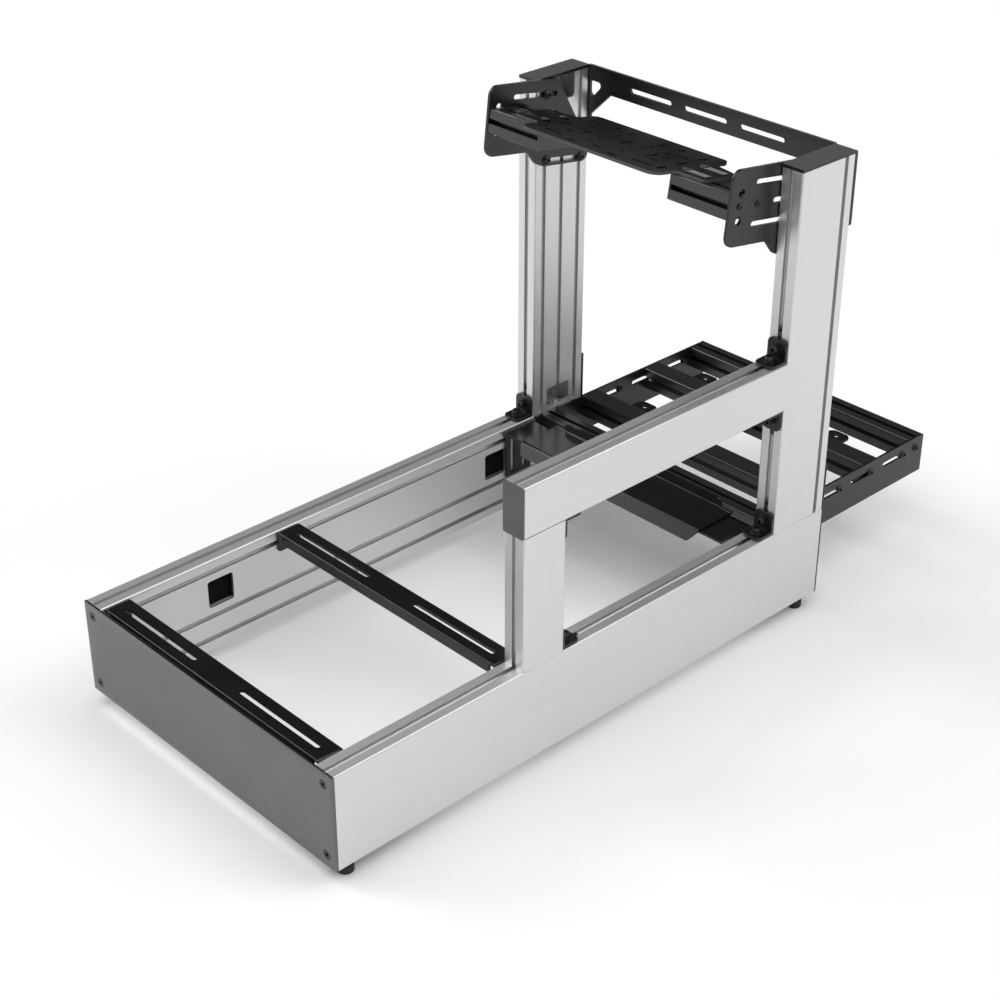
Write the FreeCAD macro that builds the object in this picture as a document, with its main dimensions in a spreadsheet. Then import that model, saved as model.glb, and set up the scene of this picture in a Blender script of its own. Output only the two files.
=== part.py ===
# Sim racing cockpit frame, built from slotted extrusion and bent sheet, in millimetres.
# Frame: +X driver's right, +Y driver's front, +Z up, floor at zero.
import FreeCAD, Part
import math
import os

doc = FreeCAD.newDocument("cockpit")

# Sizes
SIZES = [
    ("cell_size", 40.0),
    ("profile_wall", 4.5),
    ("profile_corner", 2.5),
    ("groove_mouth", 8.2),
    ("groove_width", 20.4),
    ("groove_shoulder", 6.2),
    ("groove_depth", 12.2),
    ("groove_floor", 9.0),
    ("core_bore", 7.0),
    ("chamber_span", 16.0),
    ("bolt_hole", 8.5),
    ("frame_width", 585.5),
    ("rail_span", 1012.0),
    ("post_rise", 602.0),
    ("end_plate_thick", 4.0),
    ("joining_plate_thick", 4.0),
    ("joining_plate_lap", 82.0),
    ("port_size", 48.0),
    ("port_corner", 4.5),
    ("port_rear_setback", 214.0),
    ("port_front_setback", 210.5),
    ("post_port_span", 54.0),
    ("post_port_low", 8.0),
    ("post_port_rise", 35.0),
    ("post_port_corner", 5.0),
    ("post_notch_drop", 41.0),
    ("arm_level", 380.0),
    ("arm_span", 548.0),
    ("cap_thick", 3.0),
    ("sheet_thick", 4.0),
    ("bend_inside", 3.0),
    ("seat_width", 43.0),
    ("seat_flange", 18.5),
    ("seat_tab_drop", 36.0),
    ("seat_slot_inner", 52.0),
    ("seat_slot_margin", 24.75),
    ("seat_relief", 14.0),
    ("seat_tab_bend", 6.0),
    ("seat_rear_at", 31.7),
    ("seat_front_at", 352.7),
    ("cross_thick", 5.0),
    ("cross_band", 41.0),
    ("cross_cap_turn", 6.0),
    ("cross_cap_lap", 20.0),
    ("cross_leg_width", 44.75),
    ("cross_leg_drop", 114.0),
    ("cross_gusset_run", 45.0),
    ("cross_gusset_rise", 43.0),
    ("cross_slot_drop", 17.0),
    ("cross_slot_span", 89.0),
    ("cross_slot_width", 9.0),
    ("cross_slot_pitch", 115.0),
    ("ear_thick", 5.0),
    ("ear_wide_hole", 13.0),
    ("deck_tilt", 9.0),
    ("deck_overhang", 105.7),
    ("deck_drop", 14.5),
    ("stub_span", 110.0),
    ("deck_thick", 5.0),
    ("deck_side_gap", 107.75),
    ("deck_front", 128.0),
    ("deck_back", 42.0),
    ("deck_neck_reach", 57.0),
    ("deck_bolt_at", 23.0),
    ("deck_bolt_slot", 56.0),
    ("deck_slot_width", 6.6),
    ("wheel_hole", 6.6),
    ("wheel_pitch_across", 66.0),
    ("wheel_pitch_along", 66.0),
    ("wheel_middle", 36.0),
    ("tray_overhang", 328.0),
    ("tray_tuck", 116.0),
    ("tray_side_rise", 70.0),
    ("tray_slot_span", 62.0),
    ("tray_slot_first", 73.0),
    ("tray_slot_inset", 81.0),
    ("bar_middle_shift", 2.0),
    ("bar_heel_tuck", 104.0),
    ("tab_width", 42.0),
    ("tab_reach", 32.0),
    ("tab_drop", 34.0),
    ("tab_at", 150.0),
    ("heel_side_gap", 51.75),
    ("heel_bar_gap", 12.0),
    ("heel_depth", 80.0),
    ("heel_flange", 15.0),
    ("heel_flange_inset", 24.0),
    ("heel_flange_corner", 9.0),
    ("heel_lip_back", 14.4),
    ("heel_lip_drop", 19.0),
    ("heel_lip_taper", 11.0),
    ("heel_bracket_inset", 4.0),
    ("heel_bracket_span", 68.0),
    ("heel_leg_inset", 4.0),
    ("heel_bracket_drop", 94.0),
    ("heel_bracket_reach", 72.0),
    ("heel_slot_pitch", 28.0),
    ("foot_rise", 24.0),
    ("foot_disc", 24.0),
    ("foot_disc_rise", 13.0),
    ("foot_nut", 15.0),
    ("foot_nut_rise", 6.0),
    ("foot_stud", 8.0),
    ("foot_stud_depth", 10.0),
    ("foot_rear_inset", 27.0),
    ("foot_front_inset", 25.0),
    ("angle_leg", 37.0),
    ("angle_width", 36.0),
    ("angle_wall", 5.0),
    ("angle_corner", 10.0),
    ("angle_hole_at", 21.0),
]
sheet = doc.addObject("Spreadsheet::Sheet", "Sizes")
for row, (alias, amount) in enumerate(SIZES, start=1):
    sheet.set("A%d" % row, alias)
    sheet.set("B%d" % row, str(amount))
    sheet.setAlias("B%d" % row, alias)
doc.recompute()


def size(alias):
    return float(sheet.get(alias))


CELL = size("cell_size")
RAIL_CELLS = 4
POST_CELLS = 3
ARM_CELLS = 2
HALF_WIDTH = size("frame_width") / 2
HALF_GAP = HALF_WIDTH - CELL
POST_DEPTH = POST_CELLS * CELL
RAIL_TOP = RAIL_CELLS * CELL
POST_TOP = RAIL_TOP + size("post_rise")

# Places as formulas: across from the middle, along from the rear plate, level above rail bottom
INNER_FACE = "%d * (Sizes.frame_width / 2 - Sizes.cell_size)"
RAIL_LINE = "%d * (Sizes.frame_width - Sizes.cell_size) / 2"
STUB_FACE = "%d * (Sizes.frame_width / 2 - Sizes.cell_size - Sizes.ear_thick)"
RAIL_FRONT = "Sizes.end_plate_thick + Sizes.rail_span"
POST_BACK = "%s - %d * Sizes.cell_size" % (RAIL_FRONT, POST_CELLS)
ARM_REAR = POST_BACK + " - Sizes.arm_span"
LEG_FRONT = "%s + %d * Sizes.cell_size" % (ARM_REAR, ARM_CELLS)
TRAY_FRONT = RAIL_FRONT + " + Sizes.tray_overhang"
HEEL_BAR = RAIL_FRONT + " - Sizes.bar_heel_tuck"
HEEL_REAR = HEEL_BAR + " - Sizes.heel_bar_gap - Sizes.heel_depth"
RAIL_HEAD = "%d * Sizes.cell_size" % RAIL_CELLS
POST_HEAD = RAIL_HEAD + " + Sizes.post_rise"
DECK_REAR = POST_BACK + " - Sizes.deck_overhang"
DECK_LEVEL = POST_HEAD + " - Sizes.deck_drop"


# Drawing helpers
def vec(across, along):
    return FreeCAD.Vector(across, along, 0)


def draw_outline(sketch, corners):
    """Closed outline; a corner is (across, along) or (across, along, radius)."""
    spots = [vec(c[0], c[1]) for c in corners]
    radii = [c[2] if len(c) > 2 else 0.0 for c in corners]
    count = len(spots)
    arrive, leave, arcs = [], [], []
    for i, spot in enumerate(spots):
        if radii[i] <= 0:
            arrive.append(spot)
            leave.append(spot)
            arcs.append(None)
            continue
        back = (spots[i - 1] - spot).normalize()
        ahead = (spots[(i + 1) % count] - spot).normalize()
        half = back.getAngle(ahead) / 2
        reach = radii[i] / math.tan(half)
        middle = (back + ahead).normalize()
        centre = spot + middle * (radii[i] / math.sin(half))
        arrive.append(spot + back * reach)
        leave.append(spot + ahead * reach)
        arcs.append(centre - middle * radii[i])
    for i in range(count):
        if arcs[i] is not None:
            sketch.addGeometry(Part.Arc(arrive[i], arcs[i], leave[i]), False)
        start = leave[i]
        finish = arrive[(i + 1) % count]
        if (finish - start).Length > 1e-6:
            sketch.addGeometry(Part.LineSegment(start, finish), False)


def draw_box(sketch, low_across, low_along, high_across, high_along, radius=0.0):
    draw_outline(sketch, [
        (low_across, low_along, radius),
        (high_across, low_along, radius),
        (high_across, high_along, radius),
        (low_across, high_along, radius),
    ])


def draw_hole(sketch, across, along, width):
    sketch.addGeometry(Part.Circle(vec(across, along), FreeCAD.Vector(0, 0, 1), width / 2), False)


def draw_slot(sketch, across, along, span, width, turn=0.0):
    """Round-ended slot about its centre, its long way turned from the sketch's first axis."""
    way = vec(math.cos(math.radians(turn)), math.sin(math.radians(turn)))
    side = vec(-way.y, way.x)
    middle = vec(across, along)
    reach = way * ((span - width) / 2)
    out = side * (width / 2)
    tip = way * (width / 2)
    low, high = middle - reach, middle + reach
    sketch.addGeometry(Part.LineSegment(low - out, high - out), False)
    sketch.addGeometry(Part.Arc(high - out, high + tip, high + out), False)
    sketch.addGeometry(Part.LineSegment(high + out, low + out), False)
    sketch.addGeometry(Part.Arc(low + out, low - tip, low - out), False)


def bent_strip(path, thick, inside):
    """Outline of a bent sheet: path is one face, the other lies to its left."""
    points = [vec(*p) for p in path]
    ways = [(points[i + 1] - points[i]).normalize() for i in range(len(points) - 1)]
    near, far = [], []
    for i, spot in enumerate(points):
        before = ways[max(i - 1, 0)]
        after = ways[min(i, len(ways) - 1)]
        left_before, left_after = vec(-before.y, before.x), vec(-after.y, after.x)
        miter = (left_before + left_after).normalize()
        other = spot + miter * (thick / miter.dot(left_after))
        turn = before.x * after.y - before.y * after.x
        bend = 0 < i < len(points) - 1
        near_radius = (inside if turn < 0 else inside + thick) if bend else 0.0
        far_radius = (inside + thick if turn < 0 else inside) if bend else 0.0
        near.append((spot.x, spot.y, near_radius))
        far.append((other.x, other.y, far_radius))
    return near + far[::-1]


# Body helpers
def new_body(name):
    body = doc.addObject("PartDesign::Body", name)
    body.Label = name
    return body


def new_sketch(body, role, lift="0"):
    sketch = body.newObject("Sketcher::SketchObject", body.Name + "_sketch")
    plane = [f for f in body.Origin.OriginFeatures if f.Role == role][0]
    sketch.AttachmentSupport = [(plane, "")]
    sketch.MapMode = "FlatFace"
    sketch.setExpression("AttachmentOffset.Base.z", lift)
    return sketch


def add_pad(body, sketch, span, back=False, both=False):
    pad = body.newObject("PartDesign::Pad", body.Name + "_pad")
    pad.Profile = sketch
    pad.setExpression("Length", span)
    pad.Reversed = back
    pad.Midplane = both
    body.Tip = pad
    return pad


def cut_through(body, sketch):
    cut = body.newObject("PartDesign::Pocket", body.Name + "_cut")
    cut.Profile = sketch
    cut.Type = 1
    cut.Midplane = True
    body.Tip = cut
    return cut


def cut_depth(body, sketch, depth, back=False):
    cut = body.newObject("PartDesign::Pocket", body.Name + "_cut")
    cut.Profile = sketch
    cut.setExpression("Length", depth)
    cut.Reversed = back
    body.Tip = cut
    return cut


def place(body, across, along, level, tilt=False):
    """Place a body by formulas, the whole frame centred along its length and standing on its feet."""
    if tilt:
        body.Placement = FreeCAD.Placement(
            FreeCAD.Vector(0, 0, 0), FreeCAD.Rotation(FreeCAD.Vector(-1, 0, 0), size("deck_tilt")))
        body.setExpression("Placement.Rotation.Angle", "Sizes.deck_tilt * 1 deg")
    body.setExpression("Placement.Base.x", across)
    body.setExpression("Placement.Base.y", "%s - (%s) / 2" % (along, TRAY_FRONT))
    body.setExpression("Placement.Base.z", "%s + Sizes.foot_rise" % level)


# Slotted extrusion section
def groove_points(at):
    """One groove seen from its face: distance along the face, depth below it."""
    mouth = size("groove_mouth") / 2
    wide = size("groove_width") / 2
    floor = size("groove_floor") / 2
    lip = size("profile_wall")
    half = [(mouth, 0.0), (mouth, lip), (wide, lip),
            (wide, size("groove_shoulder")), (floor, size("groove_depth"))]
    return [(at - a, d) for a, d in half] + [(at + a, d) for a, d in reversed(half)]


def draw_section(sketch, cells, onto, inner=(), outer=(), low=True, high=True, chambers=()):
    """Section of a row of square cells; onto maps (depth from inner face, run) to the sketch."""
    run = cells * CELL
    corner = size("profile_corner")
    middle = CELL / 2
    points = [(0.0, 0.0, corner)]
    if low:
        points += [(a, d) for a, d in groove_points(middle)]
    points.append((CELL, 0.0, corner))
    for cell in sorted(outer):
        points += [(CELL - d, a) for a, d in groove_points((cell + 0.5) * CELL)]
    points.append((CELL, run, corner))
    if high:
        points += [(a, run - d) for a, d in reversed(groove_points(middle))]
    points.append((0.0, run, corner))
    for cell in sorted(inner, reverse=True):
        points += [(d, a) for a, d in reversed(groove_points((cell + 0.5) * CELL))]
    draw_outline(sketch, [onto(p[0], p[1]) + tuple(p[2:]) for p in points])
    wall = size("profile_wall")
    for start, finish in chambers:
        first, last = onto(wall, start), onto(CELL - wall, finish)
        draw_box(sketch, min(first[0], last[0]), min(first[1], last[1]),
                 max(first[0], last[0]), max(first[1], last[1]), corner)
    for cell in range(cells):
        at = (cell + 0.5) * CELL
        if not any(start < at < finish for start, finish in chambers):
            spot = onto(middle, at)
            draw_hole(sketch, spot[0], spot[1], size("core_bore"))


def joint_chamber(boundary):
    """Hollow between two neighbouring grooved cells."""
    reach = size("chamber_span") / 2
    return (boundary * CELL - reach, boundary * CELL + reach)


# Base rails
PORT_LOW = 2.5 * CELL - size("port_size") / 2
PORT_HIGH = 2.5 * CELL + size("port_size") / 2
for side, hand in ((-1, "left"), (1, "right")):
    rail = new_body("rail_" + hand)
    section = new_sketch(rail, "XZ_Plane")
    draw_section(section, RAIL_CELLS, lambda d, r, s=side: (s * d, r), inner=(0, 1, 3),
                 chambers=(joint_chamber(1), (PORT_LOW, PORT_HIGH)))
    add_pad(rail, section, "Sizes.rail_span", back=True)
    ports = new_sketch(rail, "YZ_Plane")
    for at in (size("port_rear_setback"), size("rail_span") - size("port_front_setback")):
        start = at - size("port_size") / 2
        draw_box(ports, start, PORT_LOW, start + size("port_size"), PORT_HIGH, size("port_corner"))
    cut_depth(rail, ports, "Sizes.profile_wall + 1", back=side > 0)
    place(rail, INNER_FACE % side, "Sizes.end_plate_thick", "0")

# Rear end plate with countersunk screw holes
end_plate = new_body("rear_end_plate")
outline = new_sketch(end_plate, "XZ_Plane")
draw_box(outline, -HALF_WIDTH, 0, HALF_WIDTH, RAIL_TOP, 1.5)
END_SCREWS = [(s * (HALF_GAP + CELL / 2), z) for s in (-1, 1) for z in (CELL / 2, RAIL_TOP - CELL / 2)]
for across, level in END_SCREWS:
    draw_hole(outline, across, level, size("bolt_hole"))
add_pad(end_plate, outline, "Sizes.end_plate_thick", back=True)
place(end_plate, "0", "0", "0")

# Front joining plates over rail end and post foot
for side, hand in ((-1, "left"), (1, "right")):
    strip = new_body("front_joining_plate_" + hand)
    outline = new_sketch(strip, "XZ_Plane")
    draw_box(outline, -CELL / 2, 0, CELL / 2, RAIL_TOP + size("joining_plate_lap"), 3.0)
    for level in (CELL / 2, RAIL_TOP - CELL / 2, RAIL_TOP + CELL / 2, RAIL_TOP + 1.5 * CELL):
        draw_hole(outline, 0, level, size("bolt_hole"))
    add_pad(strip, outline, "Sizes.joining_plate_thick", back=True)
    place(strip, RAIL_LINE % side, RAIL_FRONT, "0")

# Upright posts with a cable port at the foot and an open one at the head, as wide
for side, hand in ((-1, "left"), (1, "right")):
    post = new_body("upright_" + hand)
    section = new_sketch(post, "XY_Plane")
    draw_section(section, POST_CELLS, lambda d, r, s=side: (s * d, r), inner=(0, 1, 2), outer=(2,),
                 chambers=(joint_chamber(1), joint_chamber(2)))
    add_pad(post, section, "Sizes.post_rise")
    port = new_sketch(post, "YZ_Plane")
    low, corner = size("post_port_low"), size("post_port_corner")
    port_rear = (POST_DEPTH - size("post_port_span")) / 2
    port_front = port_rear + size("post_port_span")
    draw_box(port, port_rear, low, port_front, low + size("post_port_rise"), corner)
    head = size("post_rise")
    draw_outline(port, [
        (port_rear, head - size("post_notch_drop"), corner), (port_front, head - size("post_notch_drop"), corner),
        (port_front, head + 1), (port_rear, head + 1)])
    cut_depth(post, port, "Sizes.cell_size - Sizes.profile_wall", back=side > 0)
    place(post, INNER_FACE % side, POST_BACK, RAIL_HEAD)

# Cross plate: front band, gussets and two caps bent back over the post tops
cross = new_body("cross_plate")
CROSS_TOP = POST_TOP + size("cross_thick")
BAND_LOW = CROSS_TOP - size("cross_band")
CAP_PLANE = POST_TOP - size("cross_cap_turn")
LEG_LOW = POST_TOP - size("cross_leg_drop")
LEG_INNER = HALF_WIDTH - size("cross_leg_width")
CORNER_HOLE = [(LEG_INNER - 30.0, POST_TOP - 20.5, 6.0), (LEG_INNER + 1.5, POST_TOP - 20.5, 6.0),
               (LEG_INNER + 1.5, POST_TOP - 55.0, 6.0)]
face = new_sketch(cross, "XZ_Plane")
half_face = [(LEG_INNER - size("cross_gusset_run"), BAND_LOW),
             (LEG_INNER, BAND_LOW - size("cross_gusset_rise")), (LEG_INNER, LEG_LOW, 3.0),
             (HALF_WIDTH, LEG_LOW, 3.0), (HALF_WIDTH, CAP_PLANE), (HALF_GAP, CAP_PLANE),
             (HALF_GAP, CROSS_TOP)]
draw_outline(face, half_face + [(-p[0],) + tuple(p[1:]) for p in reversed(half_face)])
for side in (-1, 1):
    draw_outline(face, [(side * p[0],) + p[1:] for p in CORNER_HOLE])
for step in (-1, 0, 1):
    draw_slot(face, step * size("cross_slot_pitch"), POST_TOP - size("cross_slot_drop"),
              size("cross_slot_span"), size("cross_slot_width"))
add_pad(cross, face, "Sizes.cross_thick", back=True)
for low in (-HALF_WIDTH, HALF_GAP):
    cap = new_sketch(cross, "YZ_Plane", "%s" % low)
    draw_outline(cap, bent_strip(
        [(-POST_DEPTH, POST_TOP), (0.0, POST_TOP), (0.0, CAP_PLANE - size("cross_cap_lap"))],
        size("cross_thick"), 0.0))
    add_pad(cross, cap, "Sizes.cell_size")
place(cross, "0", RAIL_FRONT, "0")

# Seat brackets: inverted channels hung between the rails
for hand in ("rear", "front"):
    seat = new_body("seat_bracket_" + hand)
    section = new_sketch(seat, "YZ_Plane")
    half, thick, flange = size("seat_width") / 2, size("sheet_thick"), size("seat_flange")
    draw_outline(section, [
        (-half, -flange), (-half, 0, 2.0), (half, 0, 2.0), (half, -flange),
        (half - thick, -flange), (half - thick, -thick), (thick - half, -thick), (thick - half, -flange)])
    add_pad(seat, section, "Sizes.frame_width - 2 * Sizes.cell_size", both=True)
    relief = new_sketch(seat, "XZ_Plane")
    for side in (-1, 1):
        draw_box(relief, side * (HALF_GAP + 1), -flange - 1, side * (HALF_GAP - size("seat_relief")), -thick)
    cut_through(seat, relief)
    for side in (-1, 1):
        tab = new_sketch(seat, "YZ_Plane", "%s" % (side * HALF_GAP))
        draw_box(tab, -half, -size("seat_tab_drop"), half, -thick / 2, 3.0)
        draw_hole(tab, 0, -CELL / 2, size("bolt_hole"))
        add_pad(seat, tab, "Sizes.sheet_thick", back=side > 0)
    bend = size("seat_tab_bend")
    rounding = new_sketch(seat, "XZ_Plane")
    for side in (-1, 1):
        draw_outline(rounding, [(side * p[0],) + p[1:] for p in [
            (HALF_GAP - bend, 1.0), (HALF_GAP - bend, 0.0), (HALF_GAP, 0.0, bend), (HALF_GAP, -bend),
            (HALF_GAP + 1, -bend), (HALF_GAP + 1, 1.0)]])
    cut_through(seat, rounding)
    slots = new_sketch(seat, "XY_Plane")
    inner, outer = size("seat_slot_inner"), HALF_GAP - size("seat_slot_margin")
    for side in (-1, 1):
        draw_slot(slots, side * (inner + outer) / 2, 0, outer - inner, size("bolt_hole"))
    cut_through(seat, slots)
    place(seat, "0", "Sizes.seat_%s_at" % hand, RAIL_HEAD)

# Shifter arm, its end cap and its rear leg, on the right
arm = new_body("shifter_arm")
section = new_sketch(arm, "XZ_Plane")
draw_section(section, ARM_CELLS, lambda d, r: (d, r), inner=(0, 1), chambers=(joint_chamber(1),))
add_pad(arm, section, "Sizes.arm_span", back=True)
place(arm, INNER_FACE % 1, ARM_REAR, "Sizes.arm_level")

arm_cap = new_body("shifter_arm_cap")
outline = new_sketch(arm_cap, "XZ_Plane")
draw_box(outline, 0, 0, CELL, ARM_CELLS * CELL, size("profile_corner"))
add_pad(arm_cap, outline, "Sizes.cap_thick")
place(arm_cap, INNER_FACE % 1, ARM_REAR, "Sizes.arm_level")

leg = new_body("shifter_leg")
section = new_sketch(leg, "XY_Plane")
draw_section(section, ARM_CELLS, lambda d, r: (d, r), inner=(0, 1), chambers=(joint_chamber(1),))
add_pad(leg, section, "Sizes.arm_level - " + RAIL_HEAD)
place(leg, INNER_FACE % 1, ARM_REAR, RAIL_HEAD)


# Corner brackets: plain angles with one hole in each leg
def corner_bracket(name, side, run, rise, along, level):
    """run and rise are +1 or -1: the way each leg goes from the corner."""
    angle = new_body(name)
    reach, wall, corner = size("angle_leg"), size("angle_wall"), size("angle_corner")
    half = size("angle_width") / 2
    for plane, way, back in (("XY_Plane", run, rise < 0), ("XZ_Plane", rise, run > 0)):
        leg = new_sketch(angle, plane)
        draw_outline(leg, [(-half, 0), (half, 0), (half, way * reach, corner), (-half, way * reach, corner)])
        add_pad(angle, leg, "Sizes.angle_wall", back=back)
        hole = new_sketch(angle, plane)
        draw_hole(hole, 0, way * size("angle_hole_at"), size("bolt_hole"))
        cut_depth(angle, hole, "Sizes.angle_leg", back=not back)
    place(angle, RAIL_LINE % side, along, level)


ARM_HEAD = "Sizes.arm_level + %d * Sizes.cell_size" % ARM_CELLS
corner_bracket("bracket_rail_post_left", -1, -1, 1, POST_BACK, RAIL_HEAD)
corner_bracket("bracket_rail_post_right", 1, -1, 1, POST_BACK, RAIL_HEAD)
corner_bracket("bracket_arm_post_upper", 1, -1, 1, POST_BACK, ARM_HEAD)
corner_bracket("bracket_arm_post_lower", 1, -1, -1, POST_BACK, "Sizes.arm_level")
corner_bracket("bracket_arm_leg", 1, 1, -1, LEG_FRONT, "Sizes.arm_level")
corner_bracket("bracket_leg_rail", 1, 1, 1, LEG_FRONT, RAIL_HEAD)

# Wheel ears: slotted side plates, drawn from the top rear corner of the post they lie against
EAR_OUTLINE = [
    (-117.0, -94.0, 18.0), (-25.0, -108.5, 8.0), (-5.0, -133.0, 8.0), (14.0, -142.5, 8.0),
    (117.0, -157.3, 12.0), (114.0, -122.0, 8.0), (44.0, 0.0, 8.0), (-104.0, 20.0, 16.0)]
EAR_SLOTS = [(-5.5, -17.2, 98.0), (15.0, -52.5, 58.0), (-27.0, -77.5, 70.0), (60.0, -140.5, 66.0)]
EAR_HOLES = [(20.0, -133.0), (100.0, -146.5)]
EAR_WIDE_HOLES = [(-86.0, -18.0), (-90.5, -59.0)]
LEAN = math.radians(size("deck_tilt"))
for side, hand in ((-1, "left"), (1, "right")):
    ear = new_body("wheel_ear_" + hand)
    outline = new_sketch(ear, "YZ_Plane")
    draw_outline(outline, EAR_OUTLINE)
    for along, level, span in EAR_SLOTS:
        draw_slot(outline, along, level, span, size("bolt_hole"), -size("deck_tilt"))
    for along, level in EAR_HOLES:
        draw_hole(outline, along, level, size("bolt_hole"))
    for along, level in EAR_WIDE_HOLES:
        draw_hole(outline, along, level, size("ear_wide_hole"))
    for run in (CELL / 2, CELL * 1.5):
        along = run * math.cos(LEAN) - CELL / 2 * math.sin(LEAN) - size("deck_overhang")
        level = -run * math.sin(LEAN) - CELL / 2 * math.cos(LEAN) - size("deck_drop")
        draw_hole(outline, along, level, size("bolt_hole"))
    add_pad(ear, outline, "Sizes.ear_thick", back=side > 0)
    place(ear, INNER_FACE % side, POST_BACK, POST_HEAD)

# Stub profiles between the ears, carrying the deck, with a cap on each inner end
for side, hand in ((-1, "left"), (1, "right")):
    stub = new_body("wheel_stub_" + hand)
    section = new_sketch(stub, "YZ_Plane")
    draw_section(section, 2, lambda d, r: (r, d - CELL), inner=(0, 1), outer=(0, 1),
                 chambers=(joint_chamber(1),))
    add_pad(stub, section, "Sizes.stub_span", back=side > 0)
    place(stub, STUB_FACE % side, DECK_REAR, DECK_LEVEL, tilt=True)
    stub_cap = new_body("wheel_stub_cap_" + hand)
    outline = new_sketch(stub_cap, "YZ_Plane")
    draw_box(outline, 0, -CELL, 2 * CELL, 0, size("profile_corner"))
    add_pad(stub_cap, outline, "Sizes.cap_thick", back=side > 0)
    place(stub_cap, STUB_FACE % side + " - %d * Sizes.stub_span" % side, DECK_REAR, DECK_LEVEL, tilt=True)

# Wheel deck: perforated plate on the stubs
deck = new_body("wheel_deck")
outline = new_sketch(deck, "XY_Plane")
WIDE = HALF_GAP - size("ear_thick") - size("deck_side_gap")
NECK = WIDE + size("deck_neck_reach")
BACK, FRONT = -size("deck_back"), size("deck_front")
half_deck = [(WIDE, BACK, 20.0), (WIDE, 3.0, 10.0), (NECK, 3.0, 8.0), (NECK, 77.0, 8.0), (WIDE, 90.0, 10.0),
             (WIDE, FRONT, 14.0)]
draw_outline(outline, half_deck + [(-p[0],) + tuple(p[1:]) for p in reversed(half_deck)])
# Slots of the wheel pattern as (across, along, span, turn), the same on both sides
DECK_SLOTS = [
    (33.0, 93.0, 24.0, 90.0), (67.0, 100.0, 18.0, 90.0), (68.0, 30.0, 32.0, 90.0),
    (WIDE - 20.0, 40.0, 26.0, 90.0), (WIDE - 18.0, -7.0, 21.0, 90.0), (WIDE - 25.0, 91.0, 24.0, 90.0),
    (WIDE - 45.0, 71.0, 24.0, 0.0), (WIDE - 54.0, 15.0, 15.0, 0.0), (42.0, -28.0, 18.0, 0.0),
    (WIDE - 49.0, -15.0, 38.0, 0.0), (WIDE - 55.0, 44.0, 16.0, 0.0), (WIDE - 69.0, 63.0, 12.0, 0.0)]
for side in (-1, 1):
    for along in (CELL / 2, CELL * 1.5):
        draw_slot(outline, side * (WIDE + size("deck_bolt_at")), along,
                  size("deck_bolt_slot"), size("bolt_hole"))
    for across, along, span, turn in DECK_SLOTS:
        draw_slot(outline, side * across, along, span, size("deck_slot_width"), turn)
    for step in (-3, -1, 1, 3):
        draw_hole(outline, side * size("wheel_pitch_across") / 2,
                  size("wheel_middle") + step * size("wheel_pitch_along") / 6, size("wheel_hole"))
draw_slot(outline, 0, 50.0, 30.0, size("deck_slot_width"), 90.0)
draw_slot(outline, 0, -16.0, 14.0, size("deck_slot_width"))
add_pad(deck, outline, "Sizes.deck_thick")
place(deck, "0", DECK_REAR, DECK_LEVEL, tilt=True)

# Pedal tray side plates
TRAY_LOW = RAIL_TOP - size("tray_side_rise")
TRAY_LEVEL = RAIL_TOP - CELL / 2
TUCK, OVERHANG = size("tray_tuck"), size("tray_overhang")
SLOT_FIRST, SLOT_LAST = size("tray_slot_first"), OVERHANG - size("tray_slot_inset")
for side, hand in ((-1, "left"), (1, "right")):
    wing = new_body("tray_side_" + hand)
    outline = new_sketch(wing, "YZ_Plane")
    draw_box(outline, -TUCK, TRAY_LOW, OVERHANG, RAIL_TOP, 2.0)
    for at in (SLOT_FIRST, (SLOT_FIRST + SLOT_LAST) / 2, SLOT_LAST):
        draw_slot(outline, at, TRAY_LEVEL, size("tray_slot_span"), size("bolt_hole"))
    for bar_rear in (OVERHANG - CELL, 0.0, -size("bar_heel_tuck")):
        draw_hole(outline, bar_rear + CELL / 2, TRAY_LEVEL, size("bolt_hole"))
    add_pad(wing, outline, "Sizes.sheet_thick", back=side > 0)
    place(wing, INNER_FACE % side, RAIL_FRONT, "0")

# Tray cross bars; the middle two have a closed top
BAR_REAR = {
    "front": TRAY_FRONT + " - Sizes.cell_size",
    "middle": RAIL_FRONT + " + Sizes.tray_overhang / 2 - Sizes.bar_middle_shift",
    "rear": RAIL_FRONT,
    "heel": HEEL_BAR,
}
for bar, top in (("front", True), ("middle", False), ("rear", False), ("heel", True)):
    beam = new_body("tray_bar_" + bar)
    section = new_sketch(beam, "YZ_Plane")
    draw_section(section, 1, lambda d, r: (r, d - CELL), inner=(0,), outer=(0,) if top else ())
    add_pad(beam, section, "Sizes.frame_width - 2 * Sizes.cell_size - 2 * Sizes.sheet_thick", both=True)
    place(beam, "0", BAR_REAR[bar], RAIL_HEAD)

# Pedal tabs: small angles on the front faces of the middle and rear bars
for bar in ("middle", "rear"):
    for side, hand in ((-1, "left"), (1, "right")):
        tab = new_body("pedal_tab_%s_%s" % (bar, hand))
        half, thick = size("tab_width") / 2, size("sheet_thick")
        shelf = new_sketch(tab, "XY_Plane")
        draw_outline(shelf, [(-half, 0), (half, 0), (half, size("tab_reach"), 12.0),
                             (-half, size("tab_reach"), 12.0)])
        draw_hole(shelf, 0, 16.5, size("bolt_hole"))
        add_pad(tab, shelf, "Sizes.sheet_thick", back=True)
        wall = new_sketch(tab, "XZ_Plane")
        draw_box(wall, -half, -size("tab_drop"), half, 0)
        draw_hole(wall, 0, thick - CELL / 2, size("bolt_hole"))
        add_pad(tab, wall, "Sizes.sheet_thick", back=True)
        place(tab, "%d * Sizes.tab_at" % side, BAR_REAR[bar] + " + Sizes.cell_size",
              RAIL_HEAD + " - Sizes.sheet_thick")

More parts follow.
